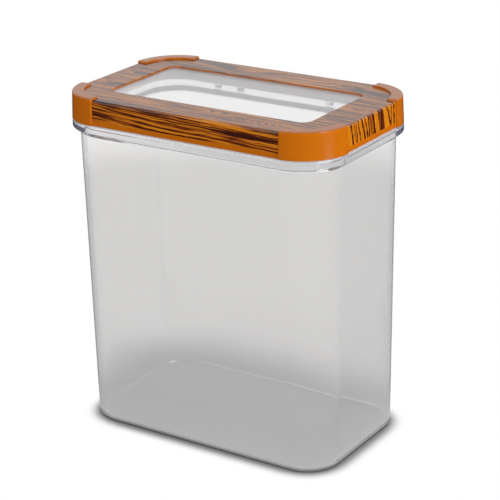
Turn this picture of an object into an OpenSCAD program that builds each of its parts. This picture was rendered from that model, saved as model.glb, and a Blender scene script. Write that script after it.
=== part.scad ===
// Rice bin with a flip lid: a clear moulded bin, and a lid made of a plain coloured frame,
// a printed wood-grain film, a clear inner lid with its window, and a soft seal.
// Millimetres. +Z is up, the front is -Y, the hinges are at the back, and the origin is the
// middle of the face that the bin stands on.
// Every part follows one rounded rectangle. A radius below is measured from the centres of
// that rectangle's four corner arcs, so equal steps in radius are equal steps all round.

/* [Lid] */
// Width of the lid over its corner blocks, at the skirt's lower edge
lid_w = 229.5; // [200:0.5:300]
// Depth of the lid over its corner blocks, at the skirt's lower edge
lid_d = 140; // [120:0.5:200]
// Corner radius of the lid, at the skirt's lower edge
lid_r = 35.5; // [30:0.5:50]
// Height of the lid, from the lower edge of its skirt to the top of the corner blocks
lid_h = 20; // [18:0.5:30]
// How far the lid's sides lean in from the skirt's lower edge to the top
side_lean = 0.8; // [0:0.1:1.2]
// Thickness of the frame's top plate, without the film
plate_t = 2.2; // [1.6:0.1:3]
// Thickness of the skirt where the film lies on it
skirt_t = 2; // [1.4:0.1:3]
// Height of the gap between the skirt and the bin's collar
lid_gap = 0.3; // [0.3:0.1:1]

/* [Corner blocks] */
// How far the corner blocks stand out past the film, on the top and on the sides
block_step = 1.4; // [0.8:0.1:2]
// Width of the raised crescent on top of each corner block
crescent_w = 8.7; // [6:0.1:14]
// Rounding of the corner blocks' top edges
block_edge_r = 1.1; // [0.3:0.1:1.4]

/* [Film] */
// Thickness of the printed film
film_t = 0.4; // [0.3:0.1:0.6]
// Rounding of the film where it turns down over the lid's edge
film_bend_r = 1.5; // [1:0.1:2.5]
// Height of the bare strip between the film and the skirt's lower edge
bare_strip = 3.6; // [2:0.1:6]
// Gap between the edge of the film and the corner blocks and knuckles
film_gap = 0.1; // [0.05:0.05:0.3]

/* [Window] */
// Width of the window opening
window_w = 170.6; // [120:0.2:180]
// Depth of the window opening
window_d = 82.2; // [60:0.2:88]
// Corner radius of the window opening
window_r = 8; // [3:0.5:14]
// Depth of the window's face below the film
window_drop = 1.1; // [0.8:0.1:2.4]
// Gap between the window's raised face and the edge of the opening
window_gap = 0.2; // [0.1:0.05:0.5]

/* [Inner lid] */
// Thickness of the clear panel
panel_t = 2.4; // [1.6:0.1:4]
// Thickness of the plug wall under the panel
plug_t = 2; // [1.4:0.1:3]
// How far the plug reaches below the skirt
plug_depth = 5; // [2:0.5:8]
// Gap between the plug wall and the bin's inner wall
plug_gap = 0.85; // [0.4:0.05:1.5]
// Gap between the plug wall and the rib of the frame that holds it
rib_gap = 0.15; // [0.05:0.05:0.3]
// Thickness of the frame's rib
rib_t = 2; // [1.4:0.1:2.5]

/* [Seal] */
// Thickness of the seal's upright band
band_t = 1.6; // [1:0.1:2]
// Height of the seal
band_h = 9.6; // [6:0.2:10]
// Thickness of the seal's lip
lip_t = 1.2; // [0.8:0.1:2]
// Width of the seal's lip, from the plug wall outwards
lip_w = 3.6; // [2.5:0.1:4]
// Gap between the lip and the bin's rim
lip_gap = 0.3; // [0.2:0.05:0.6]

/* [Bin] */
// Height of the bin from its base to its rim
bin_h = 239.7; // [150:0.1:320]
// Thickness of the bin's walls
wall_t = 2.4; // [1.8:0.1:3.2]
// Thickness of the base
base_t = 3; // [2.4:0.1:5]
// How much the radius of the walls shrinks from the collar down to the base
draft = 2.8; // [1:0.1:6]
// Rounding of the outer edge of the base
base_edge_r = 5.2; // [3:0.1:6]
// Rounding inside, where the walls meet the base
inside_edge_r = 2.5; // [1:0.1:4]

/* [Collar] */
// How far the collar stands out past the walls
collar_out = 5.6; // [4:0.1:7]
// Height of the collar's upright face
collar_face_h = 5.8; // [3:0.1:8]
// Height of the slope under the collar's face
collar_slope_h = 4.4; // [3:0.1:8]
// Rounding of the collar's edges
collar_edge_r = 0.8; // [0.4:0.1:1]

/* [Hinge] */
// Distance from the middle of the bin to the middle of each hinge
hinge_x = 50; // [30:1:65]
// Height of the hinge axis above the bin's rim
axis_up = 1.8; // [1.6:0.1:2.4]
// Gap between the collar's face and the hinge barrels
barrel_gap = 0.2; // [0.1:0.05:0.5]
// Radius of the hinge barrels
barrel_r = 3.4; // [3:0.1:4]
// Width of the lid's knuckle
knuckle_w = 14; // [8:1:24]
// Width of each of the bin's two lugs at a knuckle
lug_w = 6; // [4:0.5:10]
// Gap between a knuckle and a lug
side_gap = 0.3; // [0.2:0.05:0.6]
// Radius of the hinge pin
pin_r = 1.5; // [1:0.1:1.8]
// Clearance round the pin in the knuckle, on the radius
pin_clearance = 0.06; // [0.02:0.01:0.1]
// Angle at which the knuckle's heel meets the collar and stops the lid
open_angle = 105; // [95:1:115]
// Reach of the heel from the hinge axis
heel_reach = 5.2; // [5:0.1:5.6]
// Thickness of the heel
heel_t = 2.4; // [1.5:0.1:3]
// Gap that is left between the heel and the collar when the lid is open
heel_gap = 0.2; // [0.1:0.05:0.4]

/* [Hidden] */
$fn = 96;
arc_steps = 6;
pin_chamfer = 0.3;
past = 1;

// Half distances between the centres of the corner arcs
span_x = lid_w / 2 - lid_r;
span_y = lid_d / 2 - lid_r;

// Heights
skirt_z = bin_h + lid_gap;
top_z = skirt_z + lid_h;
film_z = top_z - block_step;
seat_z = film_z - film_t;
plate_z = seat_z - plate_t;
window_z = film_z - window_drop;
panel_z = plate_z - panel_t;
plug_z = skirt_z - plug_depth;
strip_z = skirt_z + bare_strip;
seal_z = bin_h + lip_gap;
seal_top_z = seal_z + band_h;
rib_z = seal_top_z + lip_gap;
collar_face_z = bin_h - collar_face_h;
collar_z = collar_face_z - collar_slope_h;
axis_z = bin_h + axis_up;

// Radii, those of the lid's sides at the skirt's lower edge
film_r = lid_r - block_step;
seat_r = film_r - film_t;
skirt_in_r = seat_r - skirt_t;
crescent_r = lid_r - side_lean - crescent_w;
wall_top_r = lid_r - collar_out;
wall_base_r = wall_top_r - draft;
rim_in_r = wall_r(bin_h) - wall_t;
plug_r = wall_r(plug_z) - wall_t - plug_gap;
rib_r = plug_r + rib_gap;
bend_r = film_bend_r - film_t;

// The hinge axis in Y
axis_y = span_y + lid_r + barrel_gap + barrel_r;

// Outer radius of the bin's walls at a height
function wall_r(z) = wall_base_r + draft * z / collar_z;

// How far the lid's sides lean in at a height
function lean(z) = side_lean * (z - skirt_z) / lid_h;

// Points of an arc about c, from angle a to angle b
function arc(c, r, a, b) =
    [for (i = [0:arc_steps]) c + r * [cos(a + (b - a) * i / arc_steps), sin(a + (b - a) * i / arc_steps)]];

// Runs a profile of radius and height all round the rounded rectangle
module all_round() {
    for (k = [0:3]) {
        across = k % 2 == 0 ? span_x : span_y;
        along = k % 2 == 0 ? span_y : span_x;
        rotate([0, 0, 90 * k]) {
            translate([across, along, 0])
                rotate_extrude(angle = 90) children();
            translate([across, along, 0])
                rotate([90, 0, 0]) linear_extrude(2 * along) children();
        }
    }
}

// Fills the middle of the rounded rectangle between two heights
module middle(z0, z1) {
    translate([-span_x, -span_y, z0]) cube([2 * span_x, 2 * span_y, z1 - z0]);
}

// A rectangular block with round corners, centred in plan
module round_block(w, d, r, z0, z1) {
    translate([0, 0, z0]) linear_extrude(z1 - z0) {
        square([w - 2 * r, d], center = true);
        square([w, d - 2 * r], center = true);
        for (x = [-1, 1], y = [-1, 1])
            translate([x * (w / 2 - r), y * (d / 2 - r)]) circle(r);
    }
}

// A profile of Y and Z, measured from the hinge axis, made w wide about x
module across_hinge(x, w) {
    translate([x - w / 2, axis_y, axis_z])
        rotate([90, 0, 90]) linear_extrude(w) children();
}

// A round bar along the hinge axis
module hinge_bar(x, w, r) {
    translate([x - w / 2, axis_y, axis_z]) rotate([0, 90, 0]) cylinder(h = w, r = r);
}

// The bin: base, drafted walls and the collar under the lid
module bin_shell() {
    all_round() polygon(concat(
        [[0, 0]],
        arc([wall_base_r - base_edge_r, base_edge_r], base_edge_r, -90, 0),
        [[wall_top_r, collar_z]],
        arc([lid_r - collar_edge_r, collar_face_z + collar_edge_r / 2], collar_edge_r, -45, 0),
        arc([lid_r - collar_edge_r, bin_h - collar_edge_r], collar_edge_r, 0, 90),
        arc([rim_in_r + collar_edge_r, bin_h - collar_edge_r], collar_edge_r, 90, 180),
        arc([wall_r(base_t + inside_edge_r) - wall_t - inside_edge_r, base_t + inside_edge_r],
            inside_edge_r, 0, -90),
        [[0, base_t]]
    ));
    middle(0, base_t);
}

// The lugs that carry one hinge pin
module bin_lugs(x) {
    for (side = [-1, 1]) {
        lug_x = x + side * (knuckle_w / 2 + side_gap + lug_w / 2);
        root_y = -(barrel_r + barrel_gap + collar_edge_r);
        hinge_bar(lug_x, lug_w, barrel_r);
        across_hinge(lug_x, lug_w)
            polygon([[root_y, -(axis_up + collar_face_h)], [0, -barrel_r], [0, 0], [root_y, 0]]);
    }
}

module bin_body() {
    color([0.84, 0.83, 0.81, 0.45]) difference() {
        union() {
            bin_shell();
            for (x = [-hinge_x, hinge_x]) bin_lugs(x);
        }
        for (x = [-hinge_x, hinge_x])
            hinge_bar(x, knuckle_w + 2 * (side_gap + lug_w + past), pin_r);
    }
}

// The skirt and the top plate, sunk all round by the film's step
module frame_shell() {
    all_round() polygon(concat(
        [[0, plate_z], [skirt_in_r - lean(plate_z), plate_z], [skirt_in_r, skirt_z]],
        [[film_r, skirt_z], [film_r - lean(strip_z), strip_z], [seat_r - lean(strip_z), strip_z]],
        arc([seat_r - lean(seat_z) - bend_r, seat_z - bend_r], bend_r, 0, 90),
        [[0, seat_z]]
    ));
    middle(plate_z, seat_z);
}

// The rib that holds the inner lid and backs the seal
module frame_rib() {
    all_round() polygon([
        [rib_r, rib_z], [rib_r + rib_t, rib_z], [rib_r + rib_t, plate_z], [rib_r, plate_z]
    ]);
}

// The four plain corner blocks, each with its crescent on top
module corner_blocks() {
    for (k = [0:3]) {
        across = k % 2 == 0 ? span_x : span_y;
        along = k % 2 == 0 ? span_y : span_x;
        rotate([0, 0, 90 * k]) translate([across, along, 0])
            rotate_extrude(angle = 90) polygon(concat(
                [[skirt_in_r - lean(plate_z), plate_z], [skirt_in_r, skirt_z], [lid_r, skirt_z]],
                arc([lid_r - side_lean - block_edge_r, top_z - block_edge_r], block_edge_r, 0, 90),
                arc([crescent_r + block_edge_r, top_z - block_edge_r], block_edge_r, 90, 180),
                [[crescent_r, plate_z]]
            ));
    }
}

// The knuckle at one hinge, with the heel that stops the lid
module lid_knuckle(x) {
    root_y = axis_y - span_y - seat_r + skirt_t / 2;
    touch = acos(-(barrel_r + barrel_gap - heel_gap) / heel_reach);
    hinge_bar(x, knuckle_w, barrel_r);
    across_hinge(x, knuckle_w)
        polygon([[-root_y, -axis_up + lid_gap], [0, -axis_up + lid_gap], [0, barrel_r], [-root_y, barrel_r]]);
    across_hinge(x, knuckle_w)
        rotate(open_angle - touch) square([heel_reach, heel_t]);
}

module lid_frame() {
    color([0.80, 0.44, 0.06]) difference() {
        union() {
            frame_shell();
            frame_rib();
            corner_blocks();
            for (x = [-hinge_x, hinge_x]) lid_knuckle(x);
        }
        round_block(window_w, window_d, window_r, plate_z - past, top_z + past);
        for (x = [-hinge_x, hinge_x])
            hinge_bar(x, knuckle_w + 2 * past, pin_r + pin_clearance);
    }
}

// The space that a corner block takes out of the film
module block_space() {
    for (x = [-1, 1], y = [-1, 1]) scale([x, y, 1])
        difference() {
            translate([span_x - film_gap, span_y - film_gap, skirt_z - past])
                cube([lid_r + past, lid_r + past, lid_h + 2 * past]);
            translate([span_x, span_y, skirt_z - 2 * past])
                cylinder(h = lid_h + 4 * past, r = crescent_r - film_gap);
        }
}

// The film: one sheet over the top, turned down between the corner blocks
module wood_film() {
    color([0.52, 0.28, 0.10]) difference() {
        union() {
            all_round() polygon(concat(
                [[seat_r - lean(strip_z), strip_z]],
                [[film_r - lean(strip_z), strip_z]],
                arc([film_r - lean(seat_z) - film_bend_r, film_z - film_bend_r], film_bend_r, 0, 90),
                [[0, film_z], [0, seat_z]],
                arc([seat_r - lean(seat_z) - bend_r, seat_z - bend_r], bend_r, 90, 0)
            ));
            middle(seat_z, film_z);
        }
        round_block(window_w, window_d, window_r, plate_z, top_z + past);
        block_space();
        for (x = [-hinge_x, hinge_x])
            translate([x - knuckle_w / 2 - film_gap, span_y, skirt_z])
                cube([knuckle_w + 2 * film_gap, lid_r + past, axis_z + barrel_r + film_gap - skirt_z]);
    }
}

// The clear inner lid: panel, raised window face and plug wall
module inner_lid() {
    color([0.90, 0.90, 0.92, 0.45]) union() {
        all_round() polygon([
            [0, plate_z], [plug_r, plate_z], [plug_r, plug_z], [plug_r - plug_t, plug_z],
            [plug_r - plug_t, panel_z], [0, panel_z]
        ]);
        middle(panel_z, plate_z);
        round_block(window_w - 2 * window_gap, window_d - 2 * window_gap, window_r - window_gap,
                    plate_z - panel_t / 2, window_z);
    }
}

// The seal: an upright band round the plug wall, and a lip over the bin's rim
module lid_seal() {
    color([0.90, 0.90, 0.88]) all_round() polygon([
        [plug_r, seal_z], [plug_r + lip_w, seal_z], [plug_r + lip_w, seal_z + lip_t],
        [plug_r + band_t, seal_z + lip_t], [plug_r + band_t, seal_top_z], [plug_r, seal_top_z]
    ]);
}

// A plain steel pin, pressed into the two lugs of a hinge
module hinge_pin(x) {
    length = knuckle_w + 2 * (side_gap + lug_w);
    color([0.70, 0.71, 0.73]) translate([x - length / 2, axis_y, axis_z]) rotate([0, 90, 0]) {
        cylinder(h = pin_chamfer, r1 = pin_r - pin_chamfer, r2 = pin_r);
        translate([0, 0, pin_chamfer]) cylinder(h = length - 2 * pin_chamfer, r = pin_r);
        translate([0, 0, length - pin_chamfer])
            cylinder(h = pin_chamfer, r1 = pin_r, r2 = pin_r - pin_chamfer);
    }
}

module hinge_pin_left() {
    hinge_pin(-hinge_x);
}

module hinge_pin_right() {
    hinge_pin(hinge_x);
}

bin_body();
lid_frame();
wood_film();
inner_lid();
lid_seal();
hinge_pin_left();
hinge_pin_right();
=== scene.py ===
"""Looks of a rice bin with a flip lid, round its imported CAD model.
Metres, +Z up, the front is -Y and the hinges are at the back. A radius is measured from the
centres of the lid's four corner arcs, as in the part's source.
"""
import math

import bmesh
import bpy
from mathutils import Matrix, Vector


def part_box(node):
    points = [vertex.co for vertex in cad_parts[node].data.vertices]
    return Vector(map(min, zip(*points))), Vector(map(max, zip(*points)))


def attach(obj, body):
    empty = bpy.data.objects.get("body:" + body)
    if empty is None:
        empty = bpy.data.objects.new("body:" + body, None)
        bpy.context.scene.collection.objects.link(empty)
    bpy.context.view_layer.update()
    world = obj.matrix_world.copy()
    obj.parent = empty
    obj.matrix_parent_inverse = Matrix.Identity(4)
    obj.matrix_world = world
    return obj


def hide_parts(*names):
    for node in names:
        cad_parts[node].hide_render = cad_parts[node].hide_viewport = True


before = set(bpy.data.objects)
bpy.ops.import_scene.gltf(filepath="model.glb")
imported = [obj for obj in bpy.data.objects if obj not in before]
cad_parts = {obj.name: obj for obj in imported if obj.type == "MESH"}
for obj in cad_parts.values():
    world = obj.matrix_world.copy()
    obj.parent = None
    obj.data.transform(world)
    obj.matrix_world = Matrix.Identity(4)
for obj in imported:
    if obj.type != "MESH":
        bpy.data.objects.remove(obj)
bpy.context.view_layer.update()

# Clear bin
# One injection moulding in clear SAN plastic: a flat base, walls with a little draft, and a thick
# collar under the lid with two pairs of hinge lugs behind it. The mould was polished.
MM = 0.001
lid_low, lid_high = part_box("lid_frame")
corner_r = 35.5 * MM
span_x = lid_high.x - corner_r
span_y = -lid_low.y - corner_r
corner_steps = 24
top_z = lid_high.z
skirt_z = top_z - 20 * MM
rim_z = skirt_z - 0.3 * MM

wall_t = 2.4 * MM
base_t = 3 * MM
draft = 2.8 * MM
collar_out = 5.6 * MM
collar_face_z = rim_z - 5.8 * MM
collar_z = collar_face_z - 4.4 * MM
collar_edge_r = 0.8 * MM
base_edge_r = 5.2 * MM
inside_edge_r = 2.5 * MM
middle_r = 4 * MM
wall_top_r = corner_r - collar_out
wall_base_r = wall_top_r - draft

hinge_x = 50 * MM
barrel_r = 3.4 * MM
axis_y = -lid_low.y + 0.2 * MM + barrel_r
axis_z = rim_z + 1.8 * MM
knuckle_w = 14 * MM
lug_w = 6 * MM
side_gap = 0.3 * MM
pin_r = 1.5 * MM
lug_edge_r = 0.4 * MM
lug_bore_gap = 0.02 * MM


def wall_r(z):
    """Outer radius of the bin's walls at a height."""
    return wall_base_r + draft * z / collar_z


def arc(x, z, radius, start, end, steps=6):
    """Points of an arc about (x, z), from one angle to another in degrees."""
    angles = [math.radians(start + (end - start) * i / steps) for i in range(steps + 1)]
    return [(x + radius * math.cos(a), z + radius * math.sin(a)) for a in angles]


def add_node(tree, kind, inputs=None, **settings):
    """Adds a node with its settings. Its inputs take values or other nodes' outputs."""
    node = tree.nodes.new(kind)
    for name, value in settings.items():
        setattr(node, name, value)
    for name, value in (inputs or {}).items():
        if isinstance(value, bpy.types.NodeSocket):
            tree.links.new(value, node.inputs[name])
        else:
            node.inputs[name].default_value = value
    return node


def linear(hex_colour, alpha=1.0):
    """An sRGB hex colour as the linear colour that shaders take."""
    shares = [int(hex_colour[i : i + 2], 16) / 255 for i in (1, 3, 5)]
    return [s / 12.92 if s <= 0.04045 else ((s + 0.055) / 1.055) ** 2.4 for s in shares] + [alpha]


def new_material(name):
    """An empty node material, its tree, and its output node."""
    material = bpy.data.materials.new(name)
    material.use_nodes = True
    material.node_tree.nodes.clear()
    return material, material.node_tree, add_node(material.node_tree, "ShaderNodeOutputMaterial")


def new_piece(name, mesh):
    """An object at the origin that holds a mesh."""
    piece = bpy.data.objects.new(name, mesh)
    bpy.context.scene.collection.objects.link(piece)
    return piece


def as_mesh(piece):
    """Makes what the piece's modifiers give into its own plain mesh."""
    graph = bpy.context.evaluated_depsgraph_get()
    made = bpy.data.meshes.new_from_object(piece.evaluated_get(graph), depsgraph=graph)
    piece.modifiers.clear()
    piece.data = made
    made.name = piece.name
    return piece


def closed_up(piece):
    """Merges doubled points, closes what is open, and turns all faces outwards."""
    shape = bmesh.new()
    shape.from_mesh(piece.data)
    bmesh.ops.remove_doubles(shape, verts=shape.verts, dist=0.002 * MM)
    bmesh.ops.dissolve_degenerate(shape, edges=shape.edges, dist=0.002 * MM)
    bmesh.ops.holes_fill(shape, edges=[e for e in shape.edges if e.is_boundary])
    bmesh.ops.recalc_face_normals(shape, faces=shape.faces)
    shape.to_mesh(piece.data)
    shape.free()
    return piece


def shaded(piece, sharp=30):
    """Smooth shading that keeps flat faces flat, and edges sharp past an angle."""
    piece.data.shade_smooth()
    piece.data.set_sharp_from_angle(angle=math.radians(sharp))
    piece.modifiers.new("Even shading", "WEIGHTED_NORMAL").keep_sharp = True
    return as_mesh(piece)


def joined(piece, other, operation):
    """Joins or cuts a piece with another one, which is used up."""
    step = piece.modifiers.new(operation, "BOOLEAN")
    step.operation = operation
    step.solver = "EXACT"
    step.object = other
    as_mesh(piece)
    bpy.data.objects.remove(other)
    return closed_up(piece)


def bars(name, outline, starts, width, edge_r=0.0):
    """Bars of one outline of Y and Z, as wide in X as given, with rounded end edges."""
    shape = bmesh.new()
    for start in starts:
        face = shape.faces.new([shape.verts.new((start, y, z)) for y, z in outline])
        end = bmesh.ops.extrude_face_region(shape, geom=[face])["geom"]
        moved = [v for v in end if isinstance(v, bmesh.types.BMVert)]
        bmesh.ops.translate(shape, verts=moved, vec=(width, 0, 0))
    if edge_r:
        rims = [e for e in shape.edges if abs(e.verts[0].co.x - e.verts[1].co.x) < edge_r]
        bmesh.ops.bevel(shape, geom=rims, offset=edge_r, segments=3, profile=0.5, affect="EDGES")
    bmesh.ops.recalc_face_normals(shape, faces=shape.faces)
    mesh = bpy.data.meshes.new(name)
    shape.to_mesh(mesh)
    shape.free()
    return new_piece(name, mesh)


round_the_bin = bpy.data.node_groups.new("Profile round the bin", "GeometryNodeTree")
sweep_sockets = {}
for label, kind in (
    ("Profile", "Geometry"),
    ("Corner span X", "Float"),
    ("Corner span Y", "Float"),
    ("Path radius", "Float"),
    ("Corner steps", "Int"),
    ("Finish", "Material"),
):
    socket = round_the_bin.interface.new_socket(label, in_out="INPUT", socket_type="NodeSocket" + kind)
    sweep_sockets[label] = socket.identifier
round_the_bin.interface.new_socket("Solid", in_out="OUTPUT", socket_type="NodeSocketGeometry")
given = add_node(round_the_bin, "NodeGroupInput").outputs
path_size = {}
for side, label in (("Width", "Corner span X"), ("Height", "Corner span Y")):
    half = add_node(
        round_the_bin, "ShaderNodeMath", {0: given[label], 1: given["Path radius"]}, operation="ADD"
    )
    whole = add_node(
        round_the_bin, "ShaderNodeMath", {0: half.outputs[0], 1: 2.0}, operation="MULTIPLY"
    )
    path_size[side] = whole.outputs[0]
rectangle = add_node(round_the_bin, "GeometryNodeCurvePrimitiveQuadrilateral", path_size)
path = add_node(
    round_the_bin,
    "GeometryNodeFilletCurve",
    {"Curve": rectangle.outputs[0], "Count": given["Corner steps"], "Radius": given["Path radius"]},
    mode="POLY",
)
outline = add_node(round_the_bin, "GeometryNodeMeshToCurve", {"Mesh": given["Profile"]})
solid = add_node(
    round_the_bin,
    "GeometryNodeCurveToMesh",
    {"Curve": path.outputs[0], "Profile Curve": outline.outputs[0]},
)
real = add_node(round_the_bin, "GeometryNodeRealizeInstances", {"Geometry": solid.outputs[0]})
dressed = add_node(
    round_the_bin, "GeometryNodeSetMaterial", {"Geometry": real.outputs[0], "Material": given["Finish"]}
)
add_node(round_the_bin, "NodeGroupOutput", {"Solid": dressed.outputs[0]})


def swept(name, profile, path_radius, finish, ring=True):
    """A profile of radius and height, swept round the lid's rounded rectangle."""
    count = len(profile)
    links = [(i, (i + 1) % count) for i in range(count if ring else count - 1)]
    mesh = bpy.data.meshes.new(name)
    # Curve to Mesh turns the profile's Y downwards
    mesh.from_pydata([(r - path_radius, -z, 0) for r, z in profile], links, [])
    piece = new_piece(name, mesh)
    sweep = piece.modifiers.new("Round the bin", "NODES")
    sweep.node_group = round_the_bin
    for label, value in (
        ("Corner span X", span_x),
        ("Corner span Y", span_y),
        ("Path radius", path_radius),
        ("Corner steps", corner_steps),
        ("Finish", finish),
    ):
        sweep[sweep_sockets[label]] = value
    return closed_up(as_mesh(piece))


# Styrene acrylonitrile, injection moulded and polished: clear and hard, with a faint violet-grey
# tint that gathers where light runs a long way inside the plastic, as at the collar and the base.
# Rays that have turned in it twice or more show a flat bluish diffuse colour instead: painted light in
# place of the light the renderer cuts off.
clear_san, tree, output = new_material("SAN_clear_polished")
place = add_node(tree, "ShaderNodeTexCoord")
waves = add_node(
    tree,
    "ShaderNodeTexNoise",
    {"Vector": place.outputs["Object"], "Scale": 1 / (38 * MM), "Detail": 1.0},
)
ripple = add_node(
    tree, "ShaderNodeBump", {"Height": waves.outputs["Fac"], "Strength": 0.3, "Distance": 0.05 * MM}
)
glass = add_node(
    tree,
    "ShaderNodeBsdfPrincipled",
    {
        "Base Color": (1, 1, 1, 1),
        "Roughness": 0.03,
        "IOR": 1.57,
        "Transmission Weight": 1.0,
        "Normal": ripple.outputs["Normal"],
    },
)
lamp_light = add_node(tree, "ShaderNodeBsdfTransparent", {"Color": linear("#F0EFEE")})
ray = add_node(tree, "ShaderNodeLightPath")
soft_ray = add_node(
    tree,
    "ShaderNodeMath",
    {0: ray.outputs["Is Shadow Ray"], 1: ray.outputs["Is Diffuse Ray"]},
    operation="MAXIMUM",
)
# Painted light: a bluish diffuse colour that stands in for light trapped in the plastic, shown once a
# ray has turned in it twice or more
painted_trapped_light = add_node(tree, "ShaderNodeBsdfDiffuse", {"Color": linear("#D6D8EC")})
many_turns = add_node(
    tree, "ShaderNodeMath", {0: ray.outputs["Glossy Depth"], 1: 1.5}, operation="GREATER_THAN"
)
glass_with_painted_light = add_node(
    tree,
    "ShaderNodeMixShader",
    {0: many_turns.outputs[0], 1: glass.outputs[0], 2: painted_trapped_light.outputs[0]},
)
surface = add_node(
    tree,
    "ShaderNodeMixShader",
    {0: soft_ray.outputs[0], 1: glass_with_painted_light.outputs[0], 2: lamp_light.outputs[0]},
)
tree.links.new(surface.outputs[0], output.inputs["Surface"])
tint = add_node(
    tree, "ShaderNodeVolumeAbsorption", {"Color": (0.48, 0.45, 0.54, 1), "Density": 0.03 / MM}
)
tree.links.new(tint.outputs[0], output.inputs["Volume"])

bin_profile = [
    (middle_r, 0),
    *arc(wall_base_r - base_edge_r, base_edge_r, base_edge_r, -90, 0, 10),
    (wall_top_r, collar_z),
    *arc(corner_r - collar_edge_r, collar_face_z + collar_edge_r / 2, collar_edge_r, -45, 0),
    *arc(corner_r - collar_edge_r, rim_z - collar_edge_r, collar_edge_r, 0, 90),
    *arc(wall_r(rim_z) - wall_t + collar_edge_r, rim_z - collar_edge_r, collar_edge_r, 90, 180),
    *arc(
        wall_r(base_t + inside_edge_r) - wall_t - inside_edge_r,
        base_t + inside_edge_r,
        inside_edge_r,
        0,
        -90,
        8,
    ),
    (middle_r, base_t),
]
clear_bin = swept("Clear_bin", bin_profile, wall_top_r, clear_san, ring=False)

lug_root_y = axis_y - barrel_r - 1 * MM
lug_outline = [
    (lug_root_y, collar_face_z),
    (lug_root_y, axis_z),
    *arc(axis_y, axis_z, barrel_r, 180, -90, 30),
]
lug_starts = [
    side * hinge_x + flank * (knuckle_w + 2 * side_gap + lug_w) / 2 - lug_w / 2
    for side in (-1, 1)
    for flank in (-1, 1)
]
lugs = bars("Lugs", lug_outline, lug_starts, lug_w, lug_edge_r)
lugs.data.materials.append(clear_san)
joined(clear_bin, lugs, "UNION")
lug_bore = arc(axis_y, axis_z, pin_r + lug_bore_gap, 0, 350, 35)
bore_w = 2 * lug_w + knuckle_w + 4 * MM
bores = bars("Bores", lug_bore, [side * hinge_x - bore_w / 2 for side in (-1, 1)], bore_w)
bores.data.materials.append(clear_san)
joined(clear_bin, bores, "DIFFERENCE")
shaded(clear_bin)
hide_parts("bin_body")
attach(clear_bin, "bin")

# Hinge pins
# Two plain lengths of drawn stainless wire, 3 mm thick, pressed into the lugs. Drawing leaves
# fine lines along the wire, and a soft stretched gloss.
drawn_steel, tree, output = new_material("Stainless_steel_drawn")
place = add_node(tree, "ShaderNodeTexCoord")
along = add_node(
    tree,
    "ShaderNodeMapping",
    {"Vector": place.outputs["Object"], "Scale": (1 / (8 * MM), 1 / (0.15 * MM), 1 / (0.15 * MM))},
)
lines = add_node(tree, "ShaderNodeTexNoise", {"Vector": along.outputs[0], "Scale": 1.0, "Detail": 3.0})
drawn = add_node(
    tree, "ShaderNodeBump", {"Height": lines.outputs["Fac"], "Strength": 0.25, "Distance": 0.01 * MM}
)
gloss = add_node(
    tree, "ShaderNodeMapRange", {"Value": lines.outputs["Fac"], "To Min": 0.2, "To Max": 0.42}
)
steel = add_node(
    tree,
    "ShaderNodeBsdfPrincipled",
    {
        "Base Color": linear("#C9CACC"),
        "Metallic": 1.0,
        "Roughness": gloss.outputs[0],
        "Normal": drawn.outputs["Normal"],
    },
)
tree.links.new(steel.outputs[0], output.inputs["Surface"])
for node in ("hinge_pin_left", "hinge_pin_right"):
    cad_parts[node].material_slots[0].material = drawn_steel

# Lid frame
# One glossy moulding in orange-brown ABS: a sunk top plate and skirt that take the film, four
# plain corner blocks with raised crescents, a rib under the plate, and two hinge knuckles.
plate_t = 2.2 * MM
skirt_t = 2 * MM
side_lean = 0.8 * MM
block_step = 1.4 * MM
crescent_w = 8.7 * MM
block_edge_r = 1 * MM
crescent_edge_r = 0.4 * MM
block_end_r = 1.1 * MM
lower_edge_r = 0.2 * MM
film_t = 0.4 * MM
film_bend_r = 1.5 * MM
bare_strip = 3.6 * MM
plug_t = 2 * MM
plug_gap = 0.85 * MM
plug_depth = 5 * MM
rib_gap = 0.15 * MM
rib_t = 2 * MM
rib_edge_r = 0.3 * MM
seal_z = rim_z + 0.3 * MM
seal_top_z = seal_z + 9.6 * MM
window_r = 8 * MM
window_span_x = 170.6 * MM / 2 - window_r
window_span_y = 82.2 * MM / 2 - window_r

film_z = top_z - block_step
seat_z = film_z - film_t
plate_z = seat_z - plate_t
strip_z = skirt_z + bare_strip
plug_z = skirt_z - plug_depth
rib_z = seal_top_z + 0.3 * MM
film_r = corner_r - block_step
seat_r = film_r - film_t
bend_r = film_bend_r - film_t
skirt_in_r = seat_r - skirt_t
crescent_r = corner_r - side_lean - crescent_w
plug_r = wall_r(plug_z) - wall_t - plug_gap
rib_r = plug_r + rib_gap

LID = (span_x, span_y)
WINDOW = (window_span_x, window_span_y)


def lean(z):
    """How far the lid's sides lean in at a height."""
    return side_lean * (z - skirt_z) / (top_z - skirt_z)


def station(corner, turn, row, shift=0.0):
    """A row of (rectangle, radius, height) as points at an angle of a corner, 0 to 3."""
    side_x, side_y = ((1, 1), (-1, 1), (-1, -1), (1, -1))[corner]
    angle = math.radians(90 * corner + turn)
    out = Vector((math.cos(angle), math.sin(angle), 0))
    ahead = Vector((-math.sin(angle), math.cos(angle), 0))
    return [
        Vector((side_x * spans[0], side_y * spans[1], z)) + r * out + shift * ahead
        for spans, r, z in row
    ]


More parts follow.
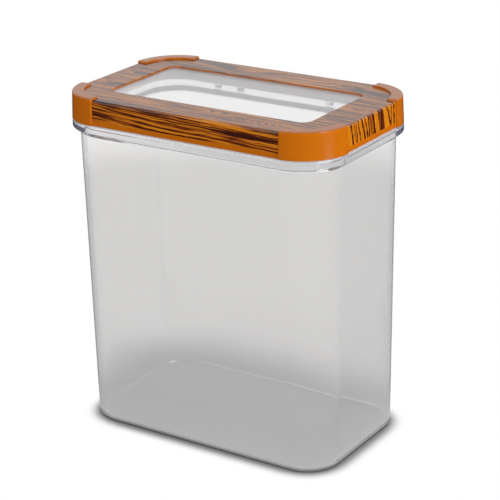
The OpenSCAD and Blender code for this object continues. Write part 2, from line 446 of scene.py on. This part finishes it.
def lofted(name, rows, finish, ring=True):
    """A skin over rows of points, from row to row and back to the first."""
    shape = bmesh.new()
    known = {}

    def corner_at(point):
        key = tuple(round(c / (0.001 * MM)) for c in point)
        if key not in known:
            known[key] = shape.verts.new(point)
        return known[key]

    count = len(rows[0])
    for row, after in zip(rows, rows[1:] + rows[:1]):
        for i in range(count if ring else count - 1):
            j = (i + 1) % count
            around = [corner_at(p) for p in (row[i], row[j], after[j], after[i])]
            around = [v for k, v in enumerate(around) if v not in around[:k]]
            if len(around) > 2:
                shape.faces.new(around)
    mesh = bpy.data.meshes.new(name)
    shape.to_mesh(mesh)
    shape.free()
    piece = closed_up(new_piece(name, mesh))
    piece.data.materials.append(finish)
    return piece


def on_lid(points):
    """Points of radius and height as row entries on the lid's rectangle."""
    return [(LID, r, z) for r, z in points]


frame_inside = on_lid(
    [
        *arc(skirt_in_r + lower_edge_r, skirt_z + lower_edge_r, lower_edge_r, -90, -180, 4),
        *arc(
            skirt_in_r - lean(plate_z) - lower_edge_r,
            plate_z - lower_edge_r,
            lower_edge_r,
            0,
            90,
            4,
        ),
        (rib_r + rib_t, plate_z),
        *arc(rib_r + rib_t - rib_edge_r, rib_z + rib_edge_r, rib_edge_r, 0, -90, 3),
        *arc(rib_r + rib_edge_r, rib_z + rib_edge_r, rib_edge_r, -90, -180, 3),
        (rib_r, plate_z),
    ]
)
window_edge = [(WINDOW, window_r, plate_z), (WINDOW, window_r, seat_z)]
seat_bend_r = seat_r - lean(seat_z) - bend_r
seat_flat = seat_bend_r - crescent_r
flat_steps = 8
side_row = (
    window_edge
    + on_lid(
        [
            *[(crescent_r + seat_flat * i / flat_steps, seat_z) for i in range(flat_steps)],
            *arc(seat_bend_r, seat_z - bend_r, bend_r, 90, 0),
            (seat_r - lean(strip_z), strip_z),
            (film_r - lean(strip_z), strip_z),
            *arc(film_r - lower_edge_r, skirt_z + lower_edge_r, lower_edge_r, 0, -90, 4),
        ]
    )
    + frame_inside
)


def block_row(inset):
    """The section through a corner block, its outside sunk by an inset."""
    foot_r = crescent_r + inset
    out_r = corner_r - inset
    high_z = top_z - inset
    return (
        window_edge
        + on_lid(
            [
                (foot_r, seat_z),
                *arc(
                    foot_r + crescent_edge_r, high_z - crescent_edge_r, crescent_edge_r, 180, 90
                ),
                *arc(
                    out_r - side_lean - block_edge_r, high_z - block_edge_r, block_edge_r, 90, 0
                ),
                (out_r - lean(strip_z + block_step), strip_z + block_step),
                (out_r - lean(strip_z), strip_z),
                *arc(out_r - lower_edge_r, skirt_z + lower_edge_r, lower_edge_r, 0, -90, 4),
            ]
        )
        + frame_inside
    )


end_steps = 4
end_turns = []
for step in range(end_steps + 1):
    slope = math.radians(90 * step / end_steps)
    reach = math.degrees(block_end_r * (1 - math.cos(slope)) / corner_r)
    end_turns.append((reach, block_end_r * (1 - math.sin(slope))))
full_turn = end_turns[-1][0]
frame_rows = []
for corner in range(4):
    frame_rows.append(station(corner, 0, side_row))
    frame_rows += [station(corner, turn, block_row(inset)) for turn, inset in end_turns]
    for step in range(1, corner_steps):
        turn = full_turn + (90 - 2 * full_turn) * step / corner_steps
        frame_rows.append(station(corner, turn, block_row(0)))
    frame_rows += [
        station(corner, 90 - turn, block_row(inset)) for turn, inset in reversed(end_turns)
    ]
    frame_rows.append(station(corner, 90, side_row))

# The moulding's gloss is high, with a faint unevenness a few millimetres wide.
orange_abs, tree, output = new_material("ABS_orange_brown_glossy")
place = add_node(tree, "ShaderNodeTexCoord")
uneven = add_node(
    tree,
    "ShaderNodeTexNoise",
    {"Vector": place.outputs["Object"], "Scale": 1 / (5 * MM), "Detail": 2.0},
)
tone = add_node(
    tree,
    "ShaderNodeMix",
    {"Factor": uneven.outputs["Fac"], "A": linear("#C86802"), "B": linear("#D07104")},
    data_type="RGBA",
)
peel = add_node(
    tree, "ShaderNodeBump", {"Height": uneven.outputs["Fac"], "Strength": 0.2, "Distance": 0.02 * MM}
)
abs_plastic = add_node(
    tree,
    "ShaderNodeBsdfPrincipled",
    {
        "Base Color": tone.outputs["Result"],
        "Roughness": 0.16,
        "IOR": 1.53,
        "Specular IOR Level": 0.35,
        "Normal": peel.outputs["Normal"],
    },
)
tree.links.new(abs_plastic.outputs[0], output.inputs["Surface"])

lid_frame = lofted("Lid_frame", frame_rows, orange_abs)

knuckle_edge_r = 0.4 * MM
heel_reach = 5.2 * MM
heel_t = 2.4 * MM
heel_turn = 105 - math.degrees(math.acos(-barrel_r / heel_reach))
heel_out = Vector((math.cos(math.radians(heel_turn)), math.sin(math.radians(heel_turn))))
heel_up = Vector((-heel_out.y, heel_out.x))
heel_start = math.degrees(math.asin(heel_t / barrel_r)) + heel_turn
root_y = span_y + seat_r - skirt_t / 2
root_z = skirt_z + 0.02 * MM
root_turn = math.degrees(math.asin((root_z - axis_z) / barrel_r))
axis = Vector((axis_y, axis_z))
knuckle_outline = [
    (root_y, root_z),
    (root_y, axis_z + barrel_r),
    *arc(axis_y, axis_z, barrel_r, 90, heel_start, 10),
    tuple(axis + heel_reach * heel_out + heel_t * heel_up),
    tuple(axis + heel_reach * heel_out),
    *arc(axis_y, axis_z, barrel_r, heel_turn, -180 - root_turn, 14),
]
knuckles = bars(
    "Knuckles",
    knuckle_outline,
    [side * hinge_x - knuckle_w / 2 for side in (-1, 1)],
    knuckle_w,
    knuckle_edge_r,
)
knuckles.data.materials.append(orange_abs)
joined(lid_frame, knuckles, "UNION")
knuckle_bore = arc(axis_y, axis_z, pin_r + 0.06 * MM, 0, 350, 35)
bores = bars(
    "Bores", knuckle_bore, [side * hinge_x - knuckle_w for side in (-1, 1)], 2 * knuckle_w
)
bores.data.materials.append(orange_abs)
joined(lid_frame, bores, "DIFFERENCE")
shaded(lid_frame)
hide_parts("lid_frame")
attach(lid_frame, "lid")

# Wood-grain film
# One printed plastic film, 0.4 mm thick, laid over the frame's top and turned down over its
# four sides between the corner blocks. The print is a dark, plain-sawn wood on orange.
film_gap = 0.1 * MM
film_lift = 0.02 * MM
cut_r = crescent_r - film_gap
film_edge = [(WINDOW, window_r, seat_z + film_lift), (WINDOW, window_r, film_z)]
face_points = 8
top_row = film_edge + on_lid(
    [(cut_r, film_z)] * face_points + [(cut_r, seat_z + film_lift)] * face_points
)
flap_row = film_edge + on_lid(
    [
        *arc(seat_bend_r, seat_z - bend_r, film_bend_r, 90, 0),
        (film_r - lean(strip_z), strip_z + film_lift),
        (seat_r - lean(strip_z) + film_lift, strip_z + film_lift),
        *arc(seat_bend_r, seat_z - bend_r, bend_r + film_lift, 0, 90),
    ]
)
film_rows = []
for corner in range(4):
    film_rows.append(station(corner, 0, flap_row, -film_gap))
    film_rows.append(station(corner, 0, top_row, -film_gap))
    film_rows += [
        station(corner, 90 * step / corner_steps, top_row) for step in range(corner_steps + 1)
    ]
    film_rows.append(station(corner, 90, top_row, film_gap))
    film_rows.append(station(corner, 90, flap_row, film_gap))

# Dark streaks on orange under a smooth clear skin, which veils the top with a soft sheen. The print
# runs on a flat sheet: the top lies as it is, and the flaps are folded out.
printed_film, tree, output = new_material("Printed_wood_grain_film")
sheet = add_node(tree, "ShaderNodeAttribute", attribute_name="Sheet")
tilted = add_node(
    tree,
    "ShaderNodeMapping",
    {
        "Vector": sheet.outputs["Vector"],
        "Rotation": (0, 0, math.radians(2.5)),
        "Scale": (1 / MM, 1 / MM, 1),
    },
)
wander = add_node(
    tree,
    "ShaderNodeMapping",
    {"Vector": tilted.outputs[0], "Scale": (1 / 70, 1 / 22, 1)},
)
drift = add_node(
    tree,
    "ShaderNodeTexNoise",
    {"Vector": wander.outputs[0], "Scale": 1.0, "Detail": 3.0, "Roughness": 0.55},
    noise_dimensions="2D",
)
sides = add_node(tree, "ShaderNodeSeparateXYZ", {"Vector": tilted.outputs[0]})
swing = add_node(
    tree,
    "ShaderNodeMath",
    {0: drift.outputs["Fac"], 1: 5.0, 2: sides.outputs["Y"]},
    operation="MULTIPLY_ADD",
)


def with_hill(base, along_at, across_at, along_reach, across_reach, height):
    """Adds a soft hill to a value of the print, at a place and with its reach on the sheet."""
    offset = add_node(
        tree,
        "ShaderNodeVectorMath",
        {0: tilted.outputs[0], 1: (along_at, across_at, 0)},
        operation="SUBTRACT",
    )
    scaled = add_node(
        tree,
        "ShaderNodeVectorMath",
        {0: offset.outputs[0], 1: (along_reach, across_reach, 1)},
        operation="DIVIDE",
    )
    squared = add_node(
        tree,
        "ShaderNodeVectorMath",
        {0: scaled.outputs[0], 1: scaled.outputs[0]},
        operation="DOT_PRODUCT",
    )
    fall = add_node(
        tree, "ShaderNodeMath", {0: squared.outputs["Value"], 1: -1.0}, operation="MULTIPLY"
    )
    hill = add_node(tree, "ShaderNodeMath", {0: fall.outputs[0]}, operation="EXPONENT")
    return add_node(
        tree, "ShaderNodeMath", {0: hill.outputs[0], 1: height, 2: base}, operation="MULTIPLY_ADD"
    ).outputs[0]


ring = swing.outputs[0]
# Each knot: its place on the sheet, its reach along and across the grain, and its rise
for knot in (
    (19, -50, 10, 3.6, 7.0),
    (-92, 4, 9, 3, 6.0),
    (-30, 52, 22, 6, 9.0),
    (60, 57, 16, 5, -8.0),
    (-104, -30, 15, 6, 8.0),
    (98, 6, 16, 6, 7.0),
):
    ring = with_hill(ring, *knot)
grain = add_node(tree, "ShaderNodeCombineXYZ", {"X": sides.outputs["X"], "Y": ring})
streaks = []
for name, length, width, detail in (
    ("grain lines", 110, 1.7, 3.0),
    ("zones", 60, 8.0, 1.0),
    ("dashes", 13, 0.8, 2.0),
):
    stretched = add_node(
        tree, "ShaderNodeMapping", {"Vector": grain.outputs[0], "Scale": (1 / length, 1 / width, 1)}
    )
    streaks.append(
        add_node(
            tree,
            "ShaderNodeTexNoise",
            {"Vector": stretched.outputs[0], "Scale": 1.0, "Detail": detail, "Roughness": 0.5},
            noise_dimensions="2D",
            label=name,
        ).outputs["Fac"]
    )
lines, zones, dashes = streaks
tone = add_node(tree, "ShaderNodeMath", {0: lines, 1: 0.62}, operation="MULTIPLY").outputs[0]
for part_of_tone, share in ((zones, 0.23), (dashes, 0.15)):
    tone = add_node(
        tree, "ShaderNodeMath", {0: part_of_tone, 1: share, 2: tone}, operation="MULTIPLY_ADD"
    ).outputs[0]
# Each patch of darker or lighter wood: its place, its reach along and across, and its strength
for patch in (
    (-72, -69, 10, 1.6, -0.09),
    (-46, -70, 13, 2.0, 0.06),
    (-44, -64, 20, 2.6, -0.06),
    (12, -72, 46, 2.2, -0.07),
    (60, -73, 24, 3.0, -0.07),
    (-92, 4, 7, 3.0, -0.08),
):
    tone = with_hill(tone, *patch)

# Arches one inside the other, which open to the right, near the top's front right corner
arch_gap = 6.0
sheet_mm = add_node(
    tree,
    "ShaderNodeVectorMath",
    {0: sheet.outputs["Vector"], 1: (1 / MM, 1 / MM, 1)},
    operation="MULTIPLY",
)
arch_place = add_node(
    tree, "ShaderNodeVectorMath", {0: sheet_mm.outputs[0], 1: (44, -54.5, 0)}, operation="SUBTRACT"
)
arch_sides = add_node(tree, "ShaderNodeSeparateXYZ", {"Vector": arch_place.outputs[0]})
spread = add_node(
    tree,
    "ShaderNodeMath",
    {0: arch_sides.outputs["Y"], 1: arch_sides.outputs["Y"]},
    operation="MULTIPLY",
)
arch = add_node(
    tree,
    "ShaderNodeMath",
    {0: spread.outputs[0], 1: -0.28, 2: arch_sides.outputs["X"]},
    operation="MULTIPLY_ADD",
)
turning = add_node(
    tree, "ShaderNodeMath", {0: arch.outputs[0], 1: math.tau / arch_gap}, operation="MULTIPLY"
)
wave = add_node(tree, "ShaderNodeMath", {0: turning.outputs[0]}, operation="SINE")
arches = add_node(
    tree, "ShaderNodeMath", {0: wave.outputs[0], 1: 0.05, 2: 0.505}, operation="MULTIPLY_ADD"
)
within = add_node(
    tree,
    "ShaderNodeMapRange",
    {"Value": arch.outputs[0], "From Min": -4.0, "From Max": 0.0},
    interpolation_type="SMOOTHSTEP",
)
ending = add_node(
    tree,
    "ShaderNodeMapRange",
    {
        "Value": arch_sides.outputs["X"],
        "From Min": 26.0,
        "From Max": 38.0,
        "To Min": 0.85,
        "To Max": 0.0,
    },
    interpolation_type="SMOOTHSTEP",
)
arch_part = add_node(
    tree, "ShaderNodeMath", {0: within.outputs[0], 1: ending.outputs[0]}, operation="MULTIPLY"
)
arched = add_node(
    tree,
    "ShaderNodeMix",
    {"Factor": arch_part.outputs[0], "A": tone, "B": arches.outputs[0]},
    data_type="FLOAT",
)

# The end flaps' bold streaks, in millimetres from the fold down the flap
flap_h = (film_z - strip_z) / MM
soft_edge = 0.45
sheet_sides = add_node(tree, "ShaderNodeSeparateXYZ", {"Vector": sheet_mm.outputs[0]})
from_middle = add_node(tree, "ShaderNodeMath", {0: sheet_sides.outputs["X"]}, operation="ABSOLUTE")
fold_x = (span_x + seat_bend_r) / MM
below_fold = add_node(
    tree, "ShaderNodeMath", {0: from_middle.outputs[0], 1: fold_x}, operation="SUBTRACT"
)
wobble = add_node(
    tree,
    "ShaderNodeMapping",
    {"Vector": sheet_mm.outputs[0], "Scale": (1 / 6, 1 / 2.2, 1)},
)
wobbling = add_node(
    tree,
    "ShaderNodeTexNoise",
    {"Vector": wobble.outputs[0], "Scale": 1.0, "Detail": 2.0},
    noise_dimensions="2D",
)
crosswise = add_node(
    tree,
    "ShaderNodeMath",
    {0: wobbling.outputs["Fac"], 1: 2.6, 2: sheet_sides.outputs["Y"]},
    operation="MULTIPLY_ADD",
)
bold = None
# Each streak: where it starts at the fold and ends at the flap's foot, its half width and depth
for top_y, low_y, half_width, depth in (
    (-28.6, -26.6, 0.8, 1.0),
    (-24.6, -22.0, 0.6, 0.8),
    (-22.0, -20.6, 0.7, 0.9),
    (-18.8, -16.6, 0.7, 0.9),
    (-14.0, -10.4, 1.0, 0.9),
    (-9.6, -6.4, 0.8, 0.9),
    (-4.6, -3.8, 0.9, 1.0),
    (-1.2, 1.6, 2.6, 0.62),
    (1.8, 4.2, 0.9, 1.0),
    (12.3, 14.2, 3.6, 0.85),
    (21.4, 26.4, 0.7, 0.9),
    (28.2, 27.6, 0.6, 0.8),
    (31.4, 31.6, 0.8, 0.9),
):
    heading = add_node(
        tree,
        "ShaderNodeMath",
        {0: below_fold.outputs[0], 1: (top_y - low_y) / flap_h, 2: crosswise.outputs[0]},
        operation="MULTIPLY_ADD",
    )
    aside = add_node(
        tree, "ShaderNodeMath", {0: heading.outputs[0], 1: top_y + 1.3}, operation="SUBTRACT"
    )
    off_line = add_node(tree, "ShaderNodeMath", {0: aside.outputs[0]}, operation="ABSOLUTE")
    stroke = add_node(
        tree,
        "ShaderNodeMapRange",
        {
            "Value": off_line.outputs[0],
            "From Min": half_width - soft_edge,
            "From Max": half_width + soft_edge,
            "To Min": depth,
            "To Max": 0.0,
        },
        interpolation_type="SMOOTHSTEP",
    ).outputs[0]
    if bold:
        stroke = add_node(tree, "ShaderNodeMath", {0: bold, 1: stroke}, operation="MAXIMUM").outputs[0]
    bold = stroke
soft_lines = add_node(
    tree, "ShaderNodeMath", {0: lines, 1: 0.3, 2: 0.42}, operation="MULTIPLY_ADD"
)
flap_tone = add_node(
    tree, "ShaderNodeMath", {0: bold, 1: -0.16, 2: soft_lines.outputs[0]}, operation="MULTIPLY_ADD"
)
end_flap = add_node(
    tree,
    "ShaderNodeMapRange",
    {"Value": below_fold.outputs[0], "From Min": -1.0, "From Max": 1.0},
    interpolation_type="SMOOTHSTEP",
)
printed = add_node(
    tree,
    "ShaderNodeMix",
    {"Factor": end_flap.outputs[0], "A": arched.outputs["Result"], "B": flap_tone.outputs[0]},
    data_type="FLOAT",
)
print_tone = add_node(tree, "ShaderNodeValToRGB", {"Fac": printed.outputs["Result"]})
tones = print_tone.color_ramp
tones.elements[0].position, tones.elements[0].color = 0.41, linear("#3A1204")
tones.elements[1].position, tones.elements[1].color = 0.60, linear("#DE860A")
for position, colour in ((0.455, "#622404"), (0.49, "#A25008"), (0.53, "#CE7608")):
    tones.elements.new(position).color = linear(colour)
film_plastic = add_node(
    tree,
    "ShaderNodeBsdfPrincipled",
    {
        "Base Color": print_tone.outputs["Color"],
        "Roughness": 0.2,
        "IOR": 1.5,
        "Specular IOR Level": 0.45,
    },
)
tree.links.new(film_plastic.outputs[0], output.inputs["Surface"])

wood_film = lofted("Wood_film", film_rows, printed_film)
notch_low_z = skirt_z - 1 * MM
notch_high_z = axis_z + barrel_r + film_gap
notch_outline = [
    (span_y, notch_low_z),
    (span_y + corner_r, notch_low_z),
    (span_y + corner_r, notch_high_z),
    (span_y, notch_high_z),
]
notch_w = knuckle_w + 2 * film_gap
notches = bars(
    "Notches", notch_outline, [side * hinge_x - notch_w / 2 for side in (-1, 1)], notch_w
)
notches.data.materials.append(printed_film)
joined(wood_film, notches, "DIFFERENCE")
shaded(wood_film)
sheet_place = wood_film.data.attributes.new("Sheet", "FLOAT_VECTOR", "POINT")
for vertex, place in zip(wood_film.data.vertices, sheet_place.data):
    x, y, z = vertex.co
    fold = max(0.0, film_z - z)
    if abs(x) - span_x > abs(y) - span_y:
        x += math.copysign(fold, x)
    else:
        y += math.copysign(fold, y)
    place.vector = (x, y, 0)
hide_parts("wood_film")
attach(wood_film, "lid")

# Inner lid
# A clear SAN moulding under the frame: a panel whose raised middle is the window, and a plug
# wall that reaches into the bin and carries the seal.
panel_t = 2.4 * MM
window_z = film_z - 1.1 * MM
window_gap = 0.2 * MM
face_edge_r = 0.5 * MM
plug_edge_r = 0.6 * MM
plug_root_r = 1 * MM
hidden_gap = 0.04 * MM
panel_top = plate_z - hidden_gap
panel_z = plate_z - panel_t
face_r = window_r - window_gap
plug_in_r = plug_r - plug_t
face_edge = arc(face_r - face_edge_r, window_z - face_edge_r, face_edge_r, 90, 0, 4)
inner_row = (
    [(WINDOW, middle_r, window_z)]
    + [(WINDOW, r, z) for r, z in face_edge]
    + [(WINDOW, face_r, panel_top)]
    + on_lid(
        [
            *arc(plug_r - face_edge_r, panel_top - face_edge_r, face_edge_r, 90, 0, 4),
            *arc(plug_r - plug_edge_r, plug_z + plug_edge_r, plug_edge_r, 0, -90, 4),
            *arc(plug_in_r + plug_edge_r, plug_z + plug_edge_r, plug_edge_r, -90, -180, 4),
            *arc(plug_in_r - plug_root_r, panel_z - plug_root_r, plug_root_r, 0, 90, 5),
            (middle_r, panel_z),
        ]
    )
)
inner_rows = [
    station(corner, 90 * step / corner_steps, inner_row)
    for corner in range(4)
    for step in range(corner_steps + 1)
]
inner_lid = lofted("Inner_lid", inner_rows, clear_san, ring=False)
shaded(inner_lid)
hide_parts("inner_lid")
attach(inner_lid, "lid")

# Seal
# A ring of soft milky silicone pushed on round the plug wall: an upright band, and a lip that
# spreads over the bin's rim, where its thin edge shows as a white line under the skirt.
band_t = 1.6 * MM
lip_t = 1.2 * MM
lip_w = 3.6 * MM
skin_gap = 0.04 * MM
skin_inset = 0.9 * MM
seal_edge_r = 0.4 * MM
seal_in_r = plug_r + hidden_gap

# Moulded silicone is matt and milky, lets a little light into its skin, and gathers fine dust.
milky_silicone, tree, output = new_material("Silicone_milky")
place = add_node(tree, "ShaderNodeTexCoord")
dusty = add_node(
    tree,
    "ShaderNodeTexNoise",
    {"Vector": place.outputs["Object"], "Scale": 1 / (4 * MM), "Detail": 4.0},
)
matt = add_node(
    tree, "ShaderNodeMapRange", {"Value": dusty.outputs["Fac"], "To Min": 0.42, "To Max": 0.6}
)
silicone = add_node(
    tree,
    "ShaderNodeBsdfPrincipled",
    {
        "Base Color": linear("#F0ECEA"),
        "Roughness": matt.outputs[0],
        "IOR": 1.41,
        "Subsurface Weight": 0.4,
        "Subsurface Radius": (2 * MM, 2 * MM, 2 * MM),
        "Subsurface Scale": 1.0,
    },
)
tree.links.new(silicone.outputs[0], output.inputs["Surface"])
seal_profile = [
    (seal_in_r, rim_z + skin_gap),
    (corner_r - skin_inset, rim_z + skin_gap),
    (corner_r - skin_inset, skirt_z - skin_gap),
    (plug_r + lip_w, skirt_z - skin_gap),
    *arc(plug_r + lip_w - seal_edge_r, seal_z + lip_t - seal_edge_r, seal_edge_r, 0, 90, 3),
    *arc(plug_r + band_t + seal_edge_r, seal_z + lip_t + seal_edge_r, seal_edge_r, -90, -180, 3),
    *arc(plug_r + band_t - seal_edge_r, seal_top_z - seal_edge_r, seal_edge_r, 0, 90, 3),
    (seal_in_r, seal_top_z),
]
lid_seal = swept("Lid_seal", seal_profile, plug_r, milky_silicone)
shaded(lid_seal)
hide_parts("lid_seal")
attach(lid_seal, "lid")

# Floor
# A plain pale studio sheet. The camera sees it white, except for the bin's shadow and a painted contact
# shadow: near the base its colour is darkened by ambient occlusion.
# The clear plastic shows it a little dimmer, up to white far away, and what gloss shows of it is duller
# still, as in a dark-walled room.
floor_r = 9.0
floor_white, tree, output = new_material("Studio_floor_white")
ray = add_node(tree, "ShaderNodeLightPath")
place = add_node(tree, "ShaderNodeTexCoord")
one_side = add_node(tree, "ShaderNodeVectorMath", {0: place.outputs["Object"]}, operation="ABSOLUTE")
past_span = add_node(
    tree,
    "ShaderNodeVectorMath",
    {0: one_side.outputs[0], 1: (span_x, span_y, 0)},
    operation="SUBTRACT",
)
outside = add_node(
    tree, "ShaderNodeVectorMath", {0: past_span.outputs[0], 1: (0, 0, 0)}, operation="MAXIMUM"
)
away = add_node(tree, "ShaderNodeVectorMath", {0: outside.outputs[0]}, operation="LENGTH")
ranges = {}
# Each range: its name, from where to where it runs, and its value at both ends
for name, near, far, at_near, at_far in (
    ("open", 0.5, 0.97, 0.0, 1.0),
    ("through", wall_base_r + 8 * MM, wall_base_r + 90 * MM, 0.35, 1.0),
    ("mirrored", wall_base_r, wall_base_r + 60 * MM, 0.5, 0.03),
    ("far", 540 * MM, 680 * MM, 1.0, 1.3),
):
    ranges[name] = add_node(
        tree,
        "ShaderNodeMapRange",
        {
            "Value": away.outputs["Value"],
            "From Min": near,
            "From Max": far,
            "To Min": at_near,
            "To Max": at_far,
        },
        interpolation_type="SMOOTHSTEP",
    )
# Painted contact shadow: ambient occlusion darkens the floor's colour near the base for camera rays,
# and takes away its white share there
painted_contact_shade = add_node(tree, "ShaderNodeAmbientOcclusion", {"Distance": 14 * MM}, samples=16)
tree.links.new(painted_contact_shade.outputs["AO"], ranges["open"].inputs["Value"])
colour_with_painted_shade = add_node(
    tree,
    "ShaderNodeMix",
    {"Factor": ray.outputs["Is Camera Ray"], "A": linear("#F6F6F6"), "B": painted_contact_shade.outputs["Color"]},
    data_type="RGBA",
)
plain = add_node(tree, "ShaderNodeBsdfDiffuse", {"Color": colour_with_painted_shade.outputs["Result"]})
dull = add_node(tree, "ShaderNodeEmission", {"Strength": ranges["mirrored"].outputs[0]})
bright = add_node(tree, "ShaderNodeEmission", {"Color": (1, 1, 1, 1), "Strength": 1.0})
dimmed = add_node(
    tree,
    "ShaderNodeEmission",
    {"Color": (0.76, 0.755, 0.735, 1), "Strength": ranges["far"].outputs[0]},
)
open_part = add_node(
    tree,
    "ShaderNodeMath",
    {0: ray.outputs["Is Camera Ray"], 1: ranges["open"].outputs[0]},
    operation="MULTIPLY",
)
through_part = add_node(
    tree,
    "ShaderNodeMath",
    {0: ray.outputs["Is Transmission Ray"], 1: ranges["through"].outputs[0]},
    operation="MULTIPLY",
)
mirrored = add_node(
    tree,
    "ShaderNodeMath",
    {0: ray.outputs["Is Glossy Ray"], 1: ray.outputs["Is Reflection Ray"]},
    operation="MULTIPLY",
)
shade = plain
for share, look in ((open_part, bright), (through_part, dimmed), (mirrored, dull)):
    shade = add_node(
        tree, "ShaderNodeMixShader", {0: share.outputs[0], 1: shade.outputs[0], 2: look.outputs[0]}
    )
tree.links.new(shade.outputs[0], output.inputs["Surface"])
mesh = bpy.data.meshes.new("Floor")
turns = [math.tau * i / 64 for i in range(64)]
mesh.from_pydata([(floor_r * math.cos(a), floor_r * math.sin(a), 0) for a in turns], [], [range(64)])
floor = new_piece("Floor", mesh)
mesh.materials.append(floor_white)

# Light
# A soft key from the right, two small soft lamps overhead, a weak fill from the front left, a low
# card for the front right block's gloss, and a pale room whose ceiling is darker.
middle = Vector((0, 0, 0.13))
for name, place, width, height, power in (
    ("Key", (1.7, -0.35, 0.75), 0.9, 0.9, 19.0),
    ("Top right", (0.85, 0.1, 1.6), 0.3, 0.3, 1.2),
    ("Top left", (-0.66, -0.64, 1.55), 0.3, 0.3, 1.2),
    ("Fill", (-1.0, -1.7, 0.75), 1.2, 1.2, 7.0),
    ("Low card", (0.86, -0.095, 0.02), 0.3, 0.05, 0.16),
):
    lamp = bpy.data.lights.new(name, "AREA")
    lamp.shape = "RECTANGLE"
    lamp.size = width
    lamp.size_y = height
    lamp.energy = power
    holder = bpy.data.objects.new(name, lamp)
    bpy.context.scene.collection.objects.link(holder)
    holder.location = place
    holder.rotation_euler = (middle - Vector(place)).to_track_quat("-Z", "Y").to_euler()

world = bpy.data.worlds.new("Studio")
bpy.context.scene.world = world
world.use_nodes = True
tree = world.node_tree
tree.nodes.clear()
output = add_node(tree, "ShaderNodeOutputWorld")
ray = add_node(tree, "ShaderNodeLightPath")
way = add_node(tree, "ShaderNodeTexCoord")
upward = add_node(tree, "ShaderNodeSeparateXYZ", {"Vector": way.outputs["Generated"]})
room = add_node(
    tree,
    "ShaderNodeMapRange",
    {
        "Value": upward.outputs["Z"],
        "From Min": math.sin(math.radians(28)),
        "From Max": math.sin(math.radians(50)),
        "To Min": 1.0,
        "To Max": 0.25,
    },
    interpolation_type="SMOOTHSTEP",
)
bent = add_node(
    tree,
    "ShaderNodeMath",
    {0: ray.outputs["Is Transmission Ray"], 1: ray.outputs["Is Glossy Ray"]},
    operation="MAXIMUM",
)
soft_room = add_node(
    tree,
    "ShaderNodeMapRange",
    {
        "Value": upward.outputs["Z"],
        "From Min": math.sin(math.radians(12)),
        "From Max": math.sin(math.radians(52)),
        "To Min": 0.58,
        "To Max": 0.12,
    },
    interpolation_type="SMOOTHSTEP",
)
plain_level = add_node(
    tree,
    "ShaderNodeMix",
    {"Factor": ray.outputs["Is Camera Ray"], "A": soft_room.outputs[0], "B": 1.0},
    data_type="FLOAT",
)
level = add_node(
    tree,
    "ShaderNodeMix",
    {"Factor": bent.outputs[0], "A": plain_level.outputs["Result"], "B": room.outputs[0]},
    data_type="FLOAT",
)
sky = add_node(tree, "ShaderNodeBackground", {"Strength": level.outputs["Result"]})
sky.inputs["Color"].default_value = (1, 1, 1, 1)
tree.links.new(sky.outputs[0], output.inputs["Surface"])

# Camera
# The photograph's view: in front, to the right and above, through a long lens.
camera = bpy.data.cameras.new("Camera")
camera.sensor_width = 36
camera.lens = 127.955
viewer = bpy.data.objects.new("Camera", camera)
bpy.context.scene.collection.objects.link(viewer)
viewer.matrix_world = (
    Matrix.Translation((0.69207, -1.03330, 0.61012))
    @ Matrix.Rotation(math.radians(33.4562), 4, "Z")
    @ Matrix.Rotation(math.radians(90 - 20.8540), 4, "X")
    @ Matrix.Rotation(math.radians(-1.2680), 4, "Z")
)
bpy.context.scene.camera = viewer
bpy.context.scene.view_settings.view_transform = "Standard"
